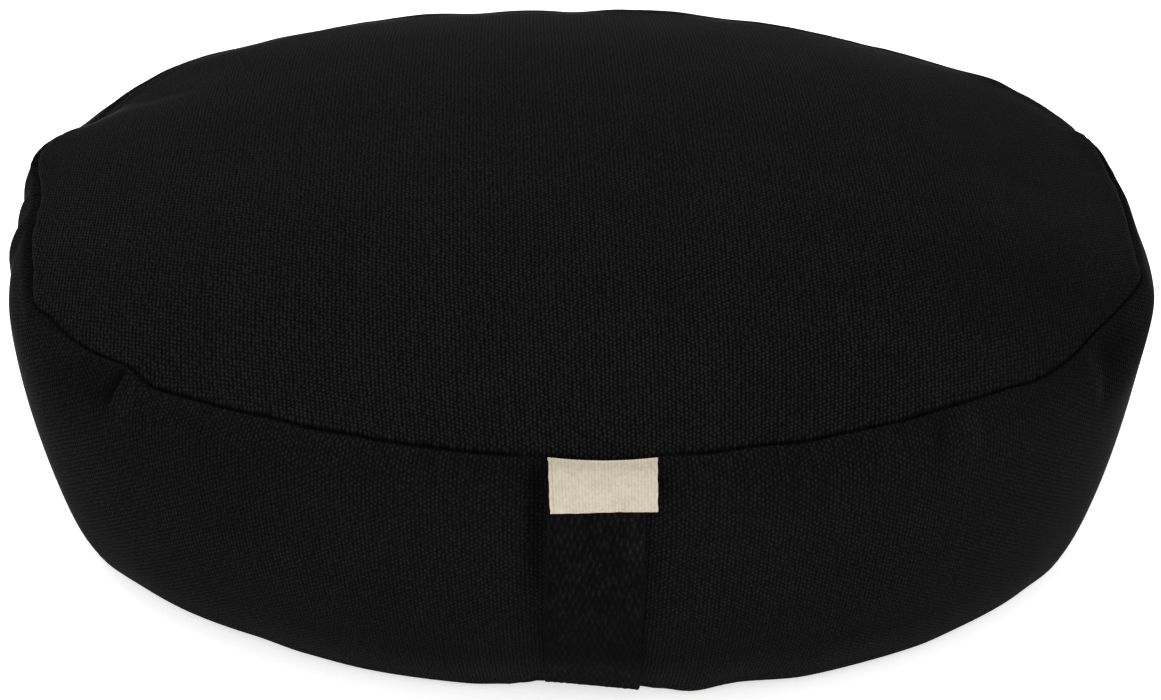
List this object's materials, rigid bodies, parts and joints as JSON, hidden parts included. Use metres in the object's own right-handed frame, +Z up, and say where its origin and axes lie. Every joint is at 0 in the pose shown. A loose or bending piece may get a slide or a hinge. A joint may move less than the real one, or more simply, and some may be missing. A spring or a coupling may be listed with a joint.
{
  "type": "zafu meditation cushion",
  "caption": "Firm oval floor cushion with a crowned top panel, a sewn side band and a flat base, and an upright webbing handle strap on its front, for sitting in meditation.",
  "frame": {"origin": "middle of the flat base panel, on the surface that the cushion rests on", "axes": "+Z up, +X along the oval's long way, -Y towards the front that carries the handle strap"},
  "size_m": [0.4027, 0.3137, 0.135],
  "materials": {
    "duck": "heavy plain-weave cotton duck, black, matt with a faint nap",
    "webbing": "cotton twill webbing, black, matt",
    "tape": "woven cotton twill tape, cream, bare"
  },
  "bodies": {
    "root": {"cushion": "duck", "handle_strap": "webbing", "label": "tape"}
  },
  "joints": []
}
